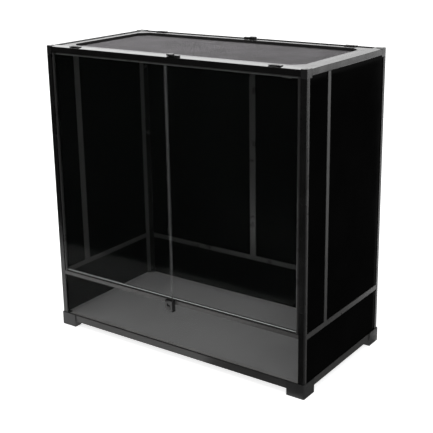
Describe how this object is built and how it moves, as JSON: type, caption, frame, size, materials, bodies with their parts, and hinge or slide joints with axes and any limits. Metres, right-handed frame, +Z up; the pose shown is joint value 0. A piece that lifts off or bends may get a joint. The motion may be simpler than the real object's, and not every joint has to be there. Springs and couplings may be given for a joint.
{
  "type": "terrarium cabinet",
  "caption": "Tall glass terrarium in a slim black frame, with dark side and back panes, a clear front with a pair of hinged doors, and a lift-off mesh screen on top.",
  "frame": {"origin": "on the floor, in the middle of the object's box, with the latch's depth counted in", "axes": "+X runs from the left door to the right door, -Y is the side that the doors are on, +Z is up"},
  "size_m": [0.9, 0.4618, 0.9053],
  "materials": {
    "frame_satin_black": "satin black powder coat",
    "profile_grey_black": "satin black powder coat on the thin profiles",
    "screen_frame_black": "smooth black paint, glossier than the frame",
    "foot_plastic": "moulded black plastic with a fine grain",
    "fitting_plastic": "smooth moulded black plastic",
    "black_glass": "black glass, glossy and opaque",
    "clear_glass": "clear float glass with polished edges",
    "edge_trim": "translucent grey trim",
    "floor_grey": "smooth dark grey sheet with a soft gloss",
    "black_screws": "blackened steel",
    "spring_steel": "bright spring steel",
    "mesh_grey": "fine woven wire, dark grey",
    "black_rubber": "matt black cord"
  },
  "bodies": {
    "cabinet": {"foot_front_left": "foot_plastic", "foot_front_right": "foot_plastic", "foot_back_left": "foot_plastic", "foot_back_right": "foot_plastic", "lower_rail_front": "frame_satin_black", "lower_rail_back": "frame_satin_black", "lower_rail_left": "frame_satin_black", "lower_rail_right": "frame_satin_black", "floor_panel": "floor_grey", "post_front_left": "frame_satin_black", "post_front_right": "frame_satin_black", "post_back_left": "frame_satin_black", "post_back_right": "frame_satin_black", "side_channels": "frame_satin_black", "top_rail_front": "frame_satin_black", "top_rail_back": "frame_satin_black", "top_rail_left": "frame_satin_black", "top_rail_right": "frame_satin_black", "top_block_front_left": "foot_plastic", "top_block_front_right": "foot_plastic", "top_block_back_left": "foot_plastic", "top_block_back_right": "foot_plastic", "door_sill": "profile_grey_black", "mid_rail_back": "profile_grey_black", "mid_rail_left": "profile_grey_black", "mid_rail_right": "profile_grey_black", "joiner_back": "profile_grey_black", "joiner_left": "profile_grey_black", "joiner_right": "profile_grey_black", "pane_front_lower": "clear_glass", "pane_back_lower": "black_glass", "pane_back_upper_left": "black_glass", "pane_back_upper_right": "black_glass", "pane_left_lower": "black_glass", "pane_left_upper_front": "black_glass", "pane_left_upper_rear": "black_glass", "pane_right_lower": "black_glass", "pane_right_upper_front": "black_glass", "pane_right_upper_rear": "black_glass", "frame_screws": "black_screws", "hinge_bushes": "fitting_plastic", "latch_housing": "fitting_plastic", "latch_leaf_spring": "spring_steel"},
    "latch_bolt": {"latch_bolt": "fitting_plastic"},
    "door_left": {"door_left_glass": "clear_glass", "door_left_stile": "fitting_plastic", "door_left_trim": "edge_trim"},
    "door_right": {"door_right_glass": "clear_glass", "door_right_stile": "fitting_plastic", "door_right_trim": "edge_trim"},
    "screen": {"screen_rails": "screen_frame_black", "screen_corners": "screen_frame_black", "screen_mesh": "mesh_grey", "screen_cord": "black_rubber"},
    "clip_front_left": {"clip_front_left": "fitting_plastic"},
    "clip_front_right": {"clip_front_right": "fitting_plastic"},
    "clip_back_left": {"clip_back_left": "fitting_plastic"},
    "clip_back_right": {"clip_back_right": "fitting_plastic"},
    "turn_latch_front": {"turn_latch_front": "fitting_plastic"},
    "turn_latch_back": {"turn_latch_back": "fitting_plastic"}
  },
  "joints": [
    {"name": "door_left_hinge", "type": "hinge", "parent": "cabinet", "child": "door_left", "pos_m": [-0.4237, -0.2111, 0.5], "axis": [0, 0, -1], "range_deg": [0, 110]},
    {"name": "door_right_hinge", "type": "hinge", "parent": "cabinet", "child": "door_right", "pos_m": [0.4237, -0.2111, 0.5], "axis": [0, 0, 1], "range_deg": [0, 110]},
    {"name": "latch_bolt_slide", "type": "slide", "parent": "cabinet", "child": "latch_bolt", "axis": [0, 0, 1], "range_m": [0, 0.008]},
    {"name": "screen_lift", "type": "slide", "parent": "cabinet", "child": "screen", "axis": [0, 0, 1], "range_m": [0, 0.08]},
    {"name": "clip_front_left_slide", "type": "slide", "parent": "cabinet", "child": "clip_front_left", "axis": [0, 1, 0], "range_m": [0, 0.006]},
    {"name": "clip_front_right_slide", "type": "slide", "parent": "cabinet", "child": "clip_front_right", "axis": [0, 1, 0], "range_m": [0, 0.006]},
    {"name": "clip_back_left_slide", "type": "slide", "parent": "cabinet", "child": "clip_back_left", "axis": [0, -1, 0], "range_m": [0, 0.006]},
    {"name": "clip_back_right_slide", "type": "slide", "parent": "cabinet", "child": "clip_back_right", "axis": [0, -1, 0], "range_m": [0, 0.006]},
    {"name": "turn_latch_front_turn", "type": "hinge", "parent": "cabinet", "child": "turn_latch_front", "pos_m": [0.01, -0.19998, 0.9], "axis": [0, 0, 1], "range_deg": [0, 90]},
    {"name": "turn_latch_back_turn", "type": "hinge", "parent": "cabinet", "child": "turn_latch_back", "pos_m": [0.01, 0.21177, 0.9], "axis": [0, 0, 1], "range_deg": [0, 90]}
  ]
}
